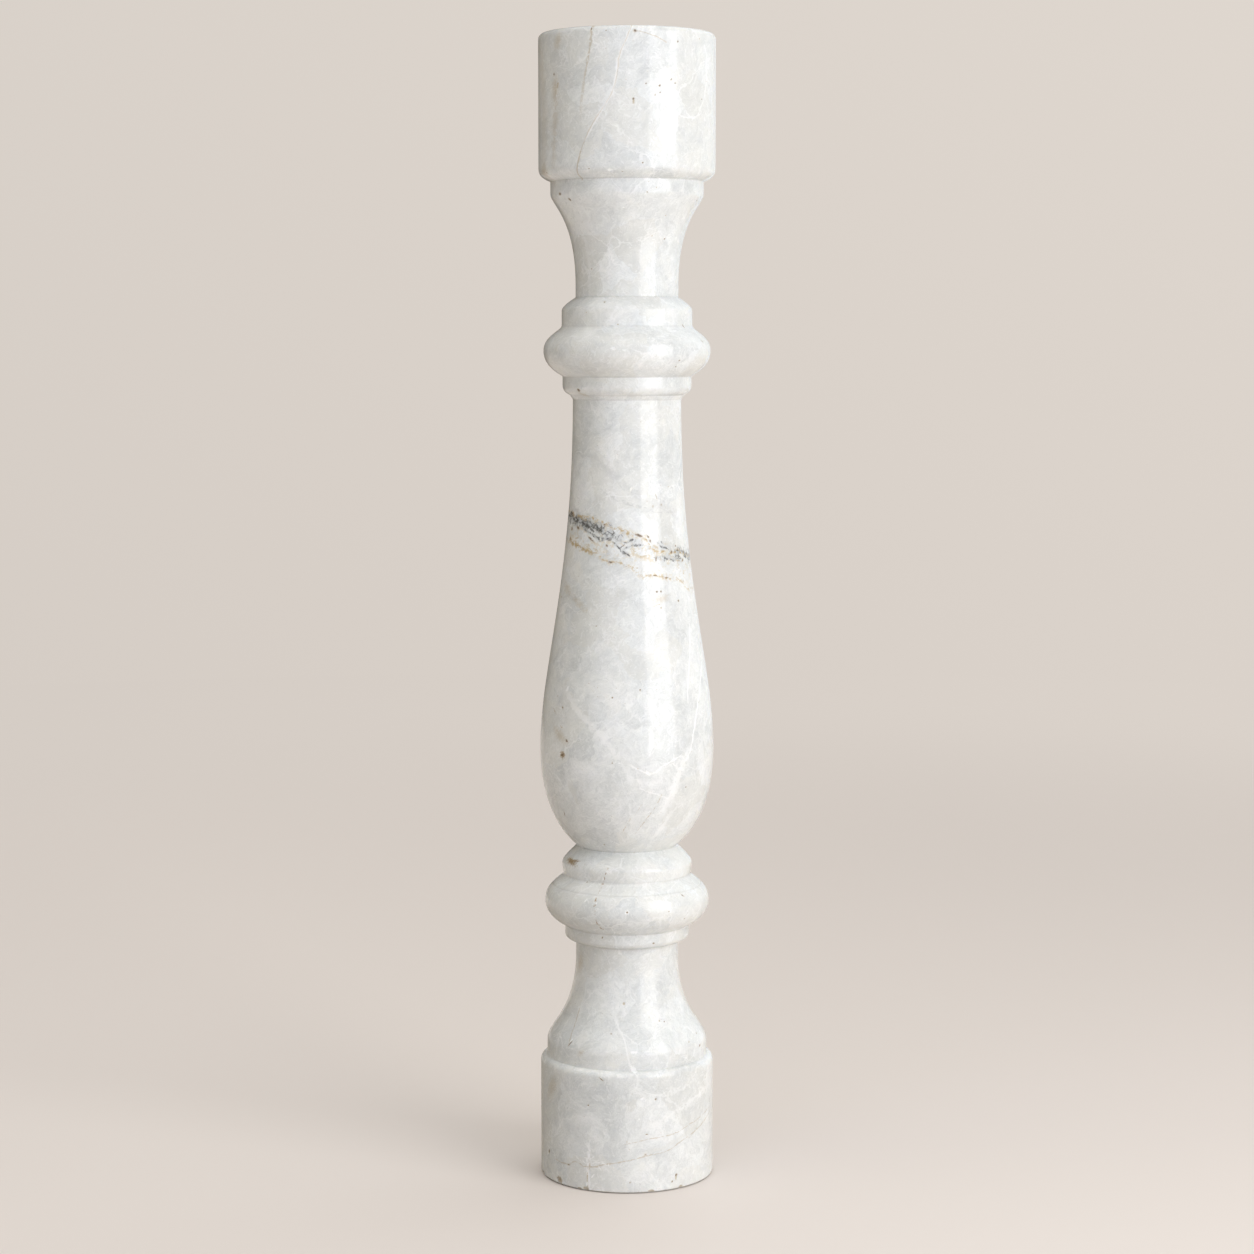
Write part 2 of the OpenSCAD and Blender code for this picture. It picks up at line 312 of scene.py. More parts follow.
flaw_lists = (charcoal_flecks, umber_flecks, ochre_flecks, brown_blots, pale_marks, rim_chips)
print("placed by hand:", sum(map(len, flaw_lists)), "flaws and", len(warm_stains), "stains")

# %% [markdown]
# Nobody chose the flaws at the sides and the back, so a seeded generator scatters them:
# the same seed gives the same stone each time. Some are pits and marks anywhere, and the
# others follow the dark band and the lower arris. A few more pits fall on the front.

# %% Seeded flaws for the sides and the back
SEED = 7
BAND_HEIGHT = 446
BAND_CLIMB = 14
chance = np.random.default_rng(SEED)


def scattered(count, sizes, depth, round_from=85, round_to=275):
    """count small flaws at random places between two angles. The angles run from the front to
    the right, so 85 to 275 is both far sides and the back."""
    angle = chance.uniform(round_from, round_to, count)
    height = chance.uniform(3, HEIGHT / MM - 3, count)
    size = chance.uniform(*sizes, count)
    shape = chance.uniform(0.5, 1.0, count)
    tilt = chance.uniform(-60, 60, count)
    return list(zip(angle, height, size, size * shape, tilt, depth * size))


def along_band(count, below, above, sizes):
    """count flecks that follow the dark band round the back of the shaft."""
    angle = chance.uniform(80, 285, count)
    middle = BAND_HEIGHT - BAND_CLIMB * np.sin(np.radians(angle))
    height = middle + chance.uniform(below, above, count)
    size = chance.uniform(*sizes, count)
    return list(zip(angle, height, size, size * chance.uniform(0.2, 0.5, count),
                    chance.uniform(-40, 15, count), np.full(count, 0.1)))


def along_rim(count):
    """count nicks in the lower arris of the base drum, round the back."""
    angle = chance.uniform(70, 300, count)
    size = chance.uniform(1.5, 4.5, count)
    return list(zip(angle, np.full(count, 1.2), size, size * 0.6, np.zeros(count), size * 0.2))


charcoal_flecks += along_band(34, -6, 10, (2, 7))
umber_flecks += along_band(14, -12, 8, (2, 6)) + scattered(46, (0.9, 1.9), 0.2)
umber_flecks += scattered(12, (0.8, 1.2), 0.2, -60, 60)
ochre_flecks += along_band(22, -24, 12, (3, 9)) + scattered(10, (1.2, 3), 0.05)
pale_marks += scattered(20, (1.5, 4.5), 0.08)
rim_chips += along_rim(7)
print("with seeded ones:", sum(map(len, flaw_lists)))

# %% [markdown]
# A flaw is measured from its own centre, in the plane that touches the surface there.
# Its "reach" is 1 at the centre, 0 at its edge and less outside, so one number per vertex
# says both where to dig and, in the material, where its stain ends. Cells that a flaw
# touches are marked here, so that the mesh is fine there and plain elsewhere.

# %% How far a point is inside a flaw
def reach_of(flaw, points):
    """1 - e, where e is the distance from the flaw's centre with its length and width as
    the units, so e = 1 is the ellipse. The distance through the stone counts as well."""
    angle, height, length, width, tilt, depth = flaw
    centre, normal = on_surface(s_at_height(height * MM), angle)
    turn = math.radians(angle)
    level = np.array([math.cos(turn), math.sin(turn), 0])
    upright = np.cross(normal, level)
    lean = math.radians(tilt)
    long_way = math.cos(lean) * level + math.sin(lean) * upright
    short_way = math.cos(lean) * upright - math.sin(lean) * level
    offset = (points - centre) / MM
    return 1 - np.sqrt((offset @ long_way / (length / 2)) ** 2
                       + (offset @ short_way / (width / 2)) ** 2
                       + (offset @ normal / max(length, width)) ** 2)


# %% Find the cells that a flaw touches
SPLIT_REACH = 0.62
cell_s, cell_angle = np.meshgrid(0.5 * (row_s[1:] + row_s[:-1]),
                                 (np.arange(COLUMNS) + 0.5) * 360 / COLUMNS - 180, indexing="ij")
cell_centre = on_surface(cell_s, cell_angle)[0]
cell_width = np.hypot(*cell_centre[..., :2].T).T * 2 * np.pi / COLUMNS
cell_half = 0.5 * np.hypot(np.diff(row_s)[:, None], cell_width)

split = np.zeros((ROWS, COLUMNS), bool)
for flaw in sum(flaw_lists, []):
    centre = on_surface(s_at_height(flaw[1] * MM), flaw[0])[0]
    to_centre = np.linalg.norm(cell_centre - centre, axis=-1)
    split |= to_centre < SPLIT_REACH * max(flaw[2:4]) * MM + cell_half
split[:2] = False
split[-2:] = False
print("cells split:", split.sum(), "of", split.size)

# %% [markdown]
# ## The mesh
# Every point has a place in a fine lattice: its fine row and its fine column. A plain cell
# is one face round its edge, and a split cell is a small grid of faces. Whole arrays of
# lattice places are made at once, and equal places become one vertex, which also closes
# the seam at the back and the two centres. A cell with extra points on a side is a fan of
# triangles round its own centre, because three points in a straight line make no face.

# %% Build the faces on the lattice
FINE_COLUMNS = COLUMNS * FINE
row, column = np.nonzero(~split)
k = np.arange(FINE)
side_row = np.concatenate([0 * k, k, 0 * k + FINE, FINE - k])
side_column = np.concatenate([k, 0 * k + FINE, FINE - k, 0 * k])
edge_row = row[:, None] * FINE + side_row
edge_column = column[:, None] * FINE + side_column
beside = [split[np.maximum(row - 1, 0), column], split[row, (column + 1) % COLUMNS],
          split[np.minimum(row + 1, ROWS - 1), column], split[row, column - 1]]
kept = np.repeat(np.stack(beside, 1), FINE, 1)
kept[:, ::FINE] = True
kept[row == 0, FINE] = False
kept[row == ROWS - 1, 3 * FINE] = False
fanned = np.any(beside, axis=0)
fan_cell, fan_side = np.nonzero(kept & fanned[:, None])
# first marks the first corner of each fan, and after is the next corner round the same cell
first = np.concatenate([[True], np.diff(fan_cell) > 0])
after = np.where(np.roll(first, -1), np.flatnonzero(first)[np.cumsum(first) - 1],
                 np.arange(len(first)) + 1)
fan_row = np.stack([edge_row[fan_cell, fan_side], edge_row[fan_cell, fan_side][after],
                    row[fan_cell] * FINE + FINE // 2], 1)
fan_column = np.stack([edge_column[fan_cell, fan_side], edge_column[fan_cell, fan_side][after],
                       column[fan_cell] * FINE + FINE // 2], 1)
edge_row, edge_column, kept = edge_row[~fanned], edge_column[~fanned], kept[~fanned]

row, column = np.nonzero(split)
a, b = np.meshgrid(k, k, indexing="ij")
small_row = (row[:, None, None] * FINE + a.ravel()[:, None] + np.array([0, 0, 1, 1]))
small_column = (column[:, None, None] * FINE + b.ravel()[:, None] + np.array([0, 1, 1, 0]))

loop_row = np.concatenate([edge_row[kept], small_row.ravel(), fan_row.ravel()])
loop_column = np.concatenate([edge_column[kept], small_column.ravel(), fan_column.ravel()])
corners = np.concatenate([kept.sum(1), np.full(small_row.size // 4, 4), np.full(len(fan_row), 3)])
at_pole = (loop_row == 0) | (loop_row == ROWS * FINE)
place = loop_row * FINE_COLUMNS + np.where(at_pole, 0, loop_column % FINE_COLUMNS)
place, loop_vertex = np.unique(place, return_inverse=True)
vertex_row, vertex_column = np.divmod(place, FINE_COLUMNS)
fine_s = np.interp(np.arange(ROWS * FINE + 1) / FINE, np.arange(ROWS + 1), row_s)
vertex_s = fine_s[vertex_row]
vertex_angle = vertex_column * 360 / FINE_COLUMNS - 180
points, normals = on_surface(vertex_s, vertex_angle)
print("vertices", len(points), " faces", len(corners), " triangles", int((corners - 2).sum()))

# %% [markdown]
# A pit is a smooth bowl: its depth times 1 - e^2, which falls to nothing at its edge.
# A chip at the rim has a flatter floor and a sharper lip, as marble breaks in shells.
# The turner's hand leaves the face very slightly uneven too: a few slow seeded waves,
# under a tenth of a millimetre deep, make the reflections waver as they do in real stone.

# %% Dig the flaws and keep how far each vertex is inside them
DIG_REACH = 1.4


def carve(flaws, sharp=1.0):
    """Digs a list of flaws into the points and gives the largest reach at each vertex."""
    most = np.full(len(points), -1.0)
    for flaw in flaws:
        centre = on_surface(s_at_height(flaw[1] * MM), flaw[0])[0]
        near = np.flatnonzero(np.abs(rest - centre).max(1) < DIG_REACH * max(flaw[2:4]) * MM)
        reach = reach_of(flaw, rest[near])
        bowl = np.clip(1 - (1 - reach) ** 2, 0, 1) ** (1 / sharp)
        dig[near] = np.maximum(dig[near], flaw[5] * MM * bowl)
        most[near] = np.maximum(most[near], reach)
    return most


rest = points.copy()
dig = np.zeros(len(points))
charcoal = carve(charcoal_flecks)
umber = carve(umber_flecks)
ochre = carve(ochre_flecks)
brown = carve(brown_blots)
pale = carve(pale_marks)
stain = carve(warm_stains)
chipped = carve(rim_chips, sharp=2.5)

# %% The slow unevenness of the turned face
WAVES = 9
UNEVEN = 0.05 * MM
EDGE = 3 * MM
turn = np.radians(vertex_angle)
waves = np.zeros(len(points))
for _ in range(WAVES):
    around = chance.integers(1, 6)
    climb = chance.uniform(-110, 110)
    waves += np.cos(around * turn + climb * points[:, 2] + chance.uniform(0, 2 * np.pi))
on_face = np.clip((HEIGHT / 2 - np.abs(points[:, 2] - HEIGHT / 2)) / EDGE, 0, 1)
uneven = UNEVEN * on_face * np.clip(0.5 - waves / WAVES, 0, 1)
points = points - normals * (dig + uneven)[:, None]
print("deepest flaw", round(dig.max() / MM, 2), "mm, unevenness to", round(uneven.max() / MM, 3), "mm")

# %% [markdown]
# The arrays go into a mesh in one step each, with foreach_set. How far a vertex lies inside
# each kind of flaw goes in as an attribute, and so does the bend of the outline into a
# quirk, where the material paints shade into the crease. The material reads them by name.

# %% Put the arrays into a mesh
mesh = bpy.data.meshes.new("marble_baluster")
mesh.vertices.add(len(points))
mesh.vertices.foreach_set("co", points.astype(np.float32).ravel())
mesh.loops.add(len(loop_vertex))
mesh.loops.foreach_set("vertex_index", loop_vertex.astype(np.int32))
mesh.polygons.add(len(corners))
mesh.polygons.foreach_set("loop_start", (np.cumsum(corners) - corners).astype(np.int32))
mesh.update(calc_edges=True)
mesh.validate()
mesh.shade_smooth()
# quirk is how many radians the outline bends inwards in one millimetre, up to 1
quirk = np.interp(vertex_s, outline_s[1:], np.clip(-1.0 * MM * curl, 0, 1))
known = dict(charcoal=charcoal, umber=umber, ochre=ochre, brown=brown, stain=stain, pale=pale,
             chipped=chipped, quirk=quirk)
for name, value in known.items():
    attribute = mesh.attributes.new(name, "FLOAT", "POINT")
    attribute.data.foreach_set("value", value.astype(np.float32))
print("mesh:", len(mesh.vertices), "vertices,", len(mesh.polygons), "faces")

# %% [markdown]
# The piece is unrolled for its texture: the outline's length runs up the map and the angle
# across it. The lower half of the outline takes the left strip and the upper half the
# right one, so that both use the square well.

# %% Unroll the surface for its texture
BORDER = 0.012
half_row = int(np.argmin(np.abs(row_s - row_s[-1] / 2))) * FINE
loop_cell = np.repeat(np.arange(len(corners)), corners)
face_start = np.cumsum(corners) - corners
face_row = np.maximum.reduceat(loop_row, face_start)[loop_cell]
upper = face_row > half_row
off_pole = np.add.reduceat(~at_pole, face_start)
middle_column = (np.add.reduceat(loop_column * ~at_pole, face_start) / off_pole)[loop_cell]
across = np.where(at_pole, middle_column, loop_column) / FINE_COLUMNS
half_s = fine_s[half_row]
climb = np.where(upper, (fine_s[loop_row] - half_s) / (fine_s[-1] - half_s),
                 fine_s[loop_row] / half_s)
strip = 0.5 - 1.5 * BORDER
uv = np.column_stack([np.where(upper, 0.5 + 0.5 * BORDER, BORDER) + strip * across,
                      BORDER + (1 - 2 * BORDER) * climb])
unrolled = mesh.uv_layers.new(name="OFBake")
unrolled.data.foreach_set("uv", uv.astype(np.float32).ravel())
print("map:", uv.min(0).round(3), "to", uv.max(0).round(3))

baluster = bpy.data.objects.new("marble_baluster", mesh)
bpy.context.scene.collection.objects.link(baluster)

# %% [markdown]
# ## The marble
# The stone is a pale cool grey that is never quite even: patches and clouds in it, wisps of
# whiter crystal, and healed cracks that show as paler lines. All of it is worked out from the
# place inside the block, so the pattern runs through mouldings and round to the back, as it
# does in a block that was veined before it was turned. Each helper below
# adds a node or a few.

# %% Helpers that add nodes
marble = bpy.data.materials.new("marble")
marble.use_nodes = True
tree = marble.node_tree
shader = tree.nodes["Principled BSDF"]


def add(kind, inputs=(), **settings):
    """Adds a node, sets its properties, and plugs sockets or writes numbers into its inputs."""
    made = tree.nodes.new(kind)
    for key, value in settings.items():
        setattr(made, key, value)
    for key, value in dict(inputs).items():
        if isinstance(value, bpy.types.NodeSocket):
            tree.links.new(value, made.inputs[key])
        else:
            made.inputs[key].default_value = value
    return made


def calc(operation, *values):
    """One Math node."""
    return add("ShaderNodeMath", enumerate(values), operation=operation).outputs[0]


def between(value, start, stop, to_start=0.0, to_stop=1.0, ease="SMOOTHSTEP"):
    """Maps value from start..stop to to_start..to_stop, and holds it there outside."""
    made = add("ShaderNodeMapRange", {0: value, 1: start, 2: stop, 3: to_start, 4: to_stop},
               interpolation_type=ease)
    return made.outputs[0]


def blend(share, under, over):
    """Colour under where share is 0, colour over where it is 1."""
    made = add("ShaderNodeMix", {0: share, 6: under, 7: over}, data_type="RGBA")
    return made.outputs[2]


def paint(under, share, strength, tint):
    """The stone with something painted over it, thinned by strength."""
    return blend(calc("MULTIPLY", share, strength), under, tint)


def noise(place, size, detail=3.0, rough=0.5, swirl=0.0):
    """Soft noise from about 0.25 to 0.75, whose blotches are about size mm across."""
    made = add("ShaderNodeTexNoise", {"Vector": place, "Scale": 1 / size, "Detail": detail,
                                      "Roughness": rough, "Distortion": swirl})
    return made.outputs[0]


def shifted(place, x, y, z):
    """The same place, moved, so that two patterns don't match."""
    return add("ShaderNodeVectorMath", {0: place, 1: (x, y, z)}).outputs[0]


def drifting(place, size, most, detail):
    """The place pushed about by up to most mm, in drifts about size mm across."""
    push = add("ShaderNodeTexNoise", {"Vector": place, "Scale": 1 / size, "Detail": detail,
                                      "Roughness": 0.6})
    push = add("ShaderNodeVectorMath", {0: push.outputs["Color"], 1: (0.5, 0.5, 0.5)},
               operation="SUBTRACT")
    push = add("ShaderNodeVectorMath", {0: push.outputs[0], 3: 2.0 * most}, operation="SCALE")
    return add("ShaderNodeVectorMath", {0: place, 1: push.outputs[0]}).outputs[0]


# %% [markdown]
# A pattern needs a place. The Object coordinates are turned into millimetres, and the angle
# round the axis and the distance from it are worked out from them, because the drawn veins
# are given by height and angle. A second, drifted place bends every pattern that uses it.

# %% Where a point is in the block, in millimetres and degrees
DEGREES = 57.2958
object_place = add("ShaderNodeTexCoord").outputs["Object"]
place = add("ShaderNodeVectorMath", {0: object_place, 3: 1000.0}, operation="SCALE").outputs[0]
axes = add("ShaderNodeSeparateXYZ", {0: place})
height = axes.outputs[2]
angle = calc("ARCTAN2", axes.outputs[0], calc("MULTIPLY", axes.outputs[1], -1.0))
angle = calc("MULTIPLY", angle, DEGREES)
radius = calc("ADD", calc("POWER", axes.outputs[0], 2.0), calc("POWER", axes.outputs[1], 2.0))
radius = calc("SQRT", radius)
drifted = drifting(place, 26, 13, 4)

# %% [markdown]
# The ground is one number, its tone, from 0, the greyest stone, to 1, the whitest. Patches
# set it first, as if the block had broken and grown together again. Clouds, slanting wisps
# and grain each push it up or down a little, and then it becomes a colour.

# %% Patches, clouds, wisps and grain
SHADE = (0.648, 0.672, 0.668, 1)
SNOW = (0.905, 0.926, 0.915, 1)
CREAM = (0.763, 0.760, 0.711, 1)

patches = add("ShaderNodeTexVoronoi", {"Vector": drifted, "Scale": 1 / 34}, feature="F1")
patch = add("ShaderNodeSeparateColor", {0: patches.outputs["Color"]})
slanted = add("ShaderNodeMapping", {"Vector": drifted, "Rotation": (0.5, 0.9, 0), "Scale": (1, 1, 2.8)},
              vector_type="TEXTURE")
clouds = noise(drifted, 22, 5, 0.6)
wisps = noise(slanted.outputs[0], 4.2, 7, 0.78, 0.5)
strokes = noise(shifted(slanted.outputs[0], 33, 8, 5), 1.7, 2, 0.5)
crossed = add("ShaderNodeMapping", {"Vector": drifted, "Rotation": (-0.4, -0.5, 0), "Scale": (1, 1, 3.3)},
              vector_type="TEXTURE")
cross_strokes = noise(crossed.outputs[0], 2.1, 2, 0.5)
grain = noise(place, 1.0, 2, 0.6)
tone = 0.5
for layer, amount in ((patch.outputs[0], 0.34), (clouds, 1.5), (wisps, 1.65), (grain, 0.55)):
    tone = calc("ADD", tone, calc("MULTIPLY_ADD", layer, amount, -0.5 * amount))
ground = blend(between(tone, 0, 1, ease="LINEAR"), SHADE, SNOW)
ground = paint(ground, between(calc("ADD", patch.outputs[1], clouds), 0.95, 1.35), 0.35, CREAM)

# %% [markdown]
# A healed crack is a thin wall of clearer crystal between two patches. The distance to the
# nearest wall of a Voronoi pattern draws such a net, and a slow noise hides most of it, so
# that lines start and stop as they do in the stone. A line where a noise crosses one half
# bends and swells more freely, and gives the short threads between them.

# %% Nets and threads of healed cracks
MILK = (0.955, 0.968, 0.960, 1)


def healed_net(size, width, seed, shown):
    """Lines width mm wide between patches size mm across, where a slow noise is over shown."""
    at = shifted(drifted, seed, 2 * seed, 3 * seed)
    wall = add("ShaderNodeTexVoronoi", {"Vector": at, "Scale": 1 / size}, feature="DISTANCE_TO_EDGE")
    line = between(calc("MULTIPLY", wall.outputs["Distance"], size), width, width * 0.1)
    return calc("MULTIPLY", line, between(noise(at, size * 1.1, 2), shown, shown + 0.12))


bright_strokes = calc("MAXIMUM", between(strokes, 0.60, 0.70), between(cross_strokes, 0.60, 0.70))
ground = paint(ground, bright_strokes, 0.4, MILK)
ground = paint(ground, between(cross_strokes, 0.38, 0.28), 0.45, SHADE)
ground = paint(ground, healed_net(38, 0.8, 11, 0.48), 0.5, MILK)
ground = paint(ground, healed_net(15, 0.55, 23, 0.50), 0.42, MILK)
crossing = calc("SUBTRACT", noise(shifted(slanted.outputs[0], 9, 9, 9), 11, 3, 0.6), 0.5)
crossing = calc("ABSOLUTE", crossing)
threads = calc("MULTIPLY", between(crossing, 0.012, 0.002), between(clouds, 0.46, 0.6))
ground = paint(ground, threads, 0.5, MILK)

# %% [markdown]
# The veins that give this piece its face are drawn one by one: a smooth line through a few
# points on the outside, held in a Float Curve node. A steep vein gives its angle at each
# height, and a level one its height at each angle. The distance from that line, made
# uneven by noise, says where the vein is, and a second curve lets it swell and fade.

# %% Drawn veins
wander = calc("SUBTRACT", noise(place, 8, 3, 0.55), 0.5)
tremble = calc("SUBTRACT", noise(place, 2.0, 3, 0.6), 0.5)
swell = between(noise(shifted(place, 20, 60, 40), 5, 3, 0.6), 0.35, 0.65, 0.4, 1.4)
breaks = noise(shifted(place, 70, 10, 30), 2.4, 3, 0.6)


def curve(value, knots):
    """A Float Curve through knots, each a pair from 0 to 1."""
    made = add("ShaderNodeFloatCurve", {1: value})
    line = made.mapping.curves[0]
    line.points[0].location = knots[0]
    line.points[1].location = knots[-1]
    for knot in knots[1:-1]:
        line.points.new(*knot)
    made.mapping.update()
    return made.outputs[0]


ENDS = ((0, 0), (0.06, 1), (0.94, 1), (1, 0))


def vein(steep, knots, width, shows=ENDS, sway=3.0, broken=0.0):
    """Share of a drawn vein at each point. knots are (height, angle) pairs if it is steep, and
    (angle, height) pairs if not, in mm and degrees. width is in mm, shows is its strength
    along the way, sway is how far it wanders in mm, and broken hides it where noise is low."""
    knots = sorted(knots)
    run, side = zip(*knots)
    least, most = min(side), max(side) + 0.001
    share = between(height if steep else angle, run[0], run[-1], ease="LINEAR")
    line = curve(share, [((a - run[0]) / (run[-1] - run[0]), (b - least) / (most - least))
                         for a, b in knots])
    line = between(line, 0.0, 1.0, least, most, ease="LINEAR")
    if steep:
        off = calc("MULTIPLY", calc("MULTIPLY", calc("SUBTRACT", angle, line), radius), math.pi / 180)
    else:
        off = calc("SUBTRACT", height, line)
    off = calc("MULTIPLY_ADD", wander, sway, off)
    off = calc("ABSOLUTE", calc("MULTIPLY_ADD", tremble, 0.5 * sway, off))
    off = calc("DIVIDE", off, swell)
    within = calc("LESS_THAN", calc("ABSOLUTE", calc("SUBTRACT", share, 0.5)), 0.4999)
    strength = calc("MULTIPLY", between(off, width * 0.7, width * 0.1),
                    calc("MULTIPLY", curve(share, shows), within))
    if broken:
        strength = calc("MULTIPLY", strength, between(breaks, broken, broken + 0.14))
    return strength


STEEP, LEVEL = True, False


def with_veins(under, veins):
    """The stone with drawn veins laid on it one by one. Each row is the strength, the colour,
    STEEP or LEVEL, the knots, the width in mm, and what else the vein is told."""
    for strength, tint, steep, knots, width, form in veins:
        under = paint(under, vein(steep, knots, width, **form), strength, tint)
    return under


# %% [markdown]
# Most pale veins come first, because the darker ones cross them. A narrow one is a crack that
# healed with clear crystal, and a wide hazy one is a cloudy seam that fades out at both ends.

# %% Pale veins
HAZY = ((0, 0), (0.3, 1), (0.7, 1), (1, 0))
pale_veins = [
    (0.55, MILK, STEEP, [(774, 58), (764, 62), (748, 61), (732, 55), (725, 46)], 1.5, {}),
    (0.5, MILK, LEVEL, [(33, 729), (40, 725), (47, 725), (56, 733)], 1.2, {}),
    (0.52, MILK, LEVEL, [(-52, 348), (-34, 329), (-24, 321), (-13, 310), (-4, 297), (4, 281)], 9.0,
     dict(shows=HAZY, sway=5.0, broken=0.30)),
    (0.85, MILK, STEEP, [(388, 59), (376, 57), (363, 53), (343, 47), (334, 46)], 1.2,
     dict(sway=1.0)),
    (0.85, MILK, STEEP, [(367, 78), (338, 59), (316, 50), (303, 46), (294, 40)], 1.7,
     dict(sway=1.4)),
    (0.58, MILK, STEEP, [(306, 47), (294, 39), (272, 31), (256, 24)], 9.0, dict(shows=HAZY,
     sway=5.0, broken=0.30)),
    (0.45, MILK, LEVEL, [(-2, 290), (6, 284), (14, 281), (24, 283)], 5.0, dict(shows=HAZY, sway=5.0,
     broken=0.34)),
    (0.5, MILK, STEEP, [(262, 34), (250, 28), (240, 22)], 4.0, dict(shows=HAZY, sway=5.0)),
    (0.75, MILK, LEVEL, [(2, 295), (9, 291), (15, 289), (24, 294), (38, 300)], 1.4, {}),
    (0.6, MILK, LEVEL, [(8, 279), (18, 275), (30, 271)], 1.6, {}),
    (0.7, MILK, STEEP, [(117, -11), (110, -6), (102, -1), (97, 0), (86, 3), (80, 7), (70, 4)], 1.7,
     dict(shows=((0, 0), (0.3, 0.8), (0.5, 1), (0.8, 0.7), (1, 0)), sway=1.0)),
    (0.75, MILK, STEEP, [(790, 5), (776, 0), (763, -5), (742, -9), (728, -17), (709, -28)], 2.2,
     dict(sway=1.2)),
]
ground = with_veins(ground, pale_veins)
print("pale veins:", len(pale_veins))

# %% [markdown]
# Iron in the water that ran through fine cracks left them tan, and clay left some grey. Many
# are broken by noise, so that they come and go. A few pale ones that lie near them follow in
# the same list.

# %% Tan and grey hairlines
TAN = (0.55, 0.475, 0.355, 1)
RUST = (0.40, 0.27, 0.15, 1)
SLATE = (0.40, 0.42, 0.43, 1)
FADE_DOWN = ((0, 0), (0.25, 0.5), (0.9, 1), (1, 0.8))
hairlines = [
    (0.62, TAN, STEEP, [(790, -22), (770, -24), (754, -27), (736, -30), (722, -31)], 1.9,
     dict(shows=FADE_DOWN, sway=1.2, broken=0.34)),
    (0.75, TAN, STEEP, [(790, 5), (776, 0), (763, -5), (754, -6), (742, -9), (728, -17), (719, -23),
     (709, -28), (690, -34), (684, -35)], 1.1, dict(shows=((0, 0.9), (0.1, 0.9), (0.3, 0.6),
     (0.6, 0.5), (1, 0.9)), sway=1.2, broken=0.28)),
    (0.5, TAN, LEVEL, [(5, 780), (14, 778), (26, 773)], 1.1, dict(sway=1.0)),
    (0.6, TAN, STEEP, [(268, 11), (261, 6), (253, 0), (246, -4)], 0.7, dict(sway=1.5, broken=0.42)),
    (0.6, TAN, STEEP, [(276, 25), (265, 20), (255, 13), (246, 7)], 0.7, dict(sway=1.5,
     broken=0.42)),
    (0.5, TAN, STEEP, [(121, -52), (110, -50), (97, -47)], 0.8, dict(sway=1.0)),
    (0.28, SLATE, LEVEL, [(-27, 478), (-7, 471), (13, 467), (35, 463), (54, 462)], 1.6,
     dict(shows=HAZY, sway=5.0, broken=0.36)),
    (0.16, SLATE, LEVEL, [(-36, 500), (-10, 486), (14, 473), (40, 466), (62, 455)], 9.0,
     dict(shows=HAZY, sway=8.0)),
    (0.55, TAN, LEVEL, [(-56, 17), (-42, 16), (-36, 19), (-29, 17), (-13, 20), (0, 23), (14, 26),
     (26, 28), (38, 33), (52, 38), (75, 47)], 1.0, dict(sway=1.6, broken=0.34)),
    (0.5, TAN, LEVEL, [(-2, 34), (17, 38), (30, 39), (45, 43), (72, 50)], 0.7, dict(sway=1.6,
     broken=0.38)),
    (0.3, CREAM, LEVEL, [(10, 28), (26, 31), (38, 36), (56, 42)], 4.0, dict(shows=HAZY, sway=2.0)),
    (0.5, MILK, LEVEL, [(8, 44), (24, 50), (44, 58), (62, 64), (84, 66)], 7.0, dict(shows=HAZY,
     sway=6.0, broken=0.36)),
    (0.4, MILK, LEVEL, [(4, 70), (24, 68), (44, 74)], 6.0, dict(shows=HAZY, sway=6.0, broken=0.38)),
    (0.85, RUST, STEEP, [(222, -17), (215, -20), (208, -22), (199, -23), (188, -22), (180, -18)],
     1.5, dict(sway=1.0, broken=0.46)),
    (0.95, MILK, STEEP, [(34, -26), (25, -26), (20, -27), (13, -26), (7, -26), (1, -24)], 3.0,
     dict(sway=2.6, broken=0.40)),
    (0.8, MILK, LEVEL, [(-36, 24), (-30, 20), (-26, 19), (-19, 21), (-13, 17)], 2.0, dict(sway=2.4,
     broken=0.40)),
    (0.8, TAN, STEEP, [(20, -25), (14, -26), (8, -27), (0, -27)], 1.2, dict(sway=1.2, broken=0.40,
     shows=((0, 1), (0.9, 1), (1, 0)))),
    (0.3, TAN, STEEP, [(748, -50), (735, -52), (715, -54), (692, -55)], 6.0, dict(shows=HAZY,
     sway=6.0, broken=0.34)),
    (0.16, TAN, STEEP, [(780, -78), (750, -70), (720, -68), (680, -72)], 12.0, dict(shows=HAZY,
     sway=8.0)),
    (0.3, MILK, STEEP, [(680, -58), (650, -48), (620, -46), (590, -52)], 4.0, dict(shows=HAZY,
     sway=6.0)),
]
ground = with_veins(ground, hairlines)
print("hairlines:", len(hairlines))
print("nodes so far:", len(tree.nodes))

# %% [markdown]
# The dark band is a sheet of other minerals that lay across the block, so on the round shaft
# it climbs to the left in front and to the right behind. A sheet is a plane: its height falls
# as x grows. Inside it, thin dark lines run round small pale grains, which is a fine Voronoi
# net again, and iron has stained the stone ochre in lines above and below.

# %% The mineral sheet across the shaft
CHARCOAL = (0.095, 0.096, 0.093, 1)
HONEY = (0.67, 0.56, 0.36, 1)
GRAIN_MM = 3.1
SHEET_FALL = 0.34
patchy = add("ShaderNodeTexNoise", {"Vector": place, "Scale": 1 / 5.5, "Detail": 3.0, "Roughness": 0.55})
patchy = add("ShaderNodeSeparateColor", {0: patchy.outputs["Color"]})
grains = add("ShaderNodeTexVoronoi", {"Vector": drifting(place, 3.0, 1.8, 2), "Scale": 1 / GRAIN_MM},
             feature="DISTANCE_TO_EDGE")
grain_edge = calc("MULTIPLY", grains.outputs["Distance"], GRAIN_MM)


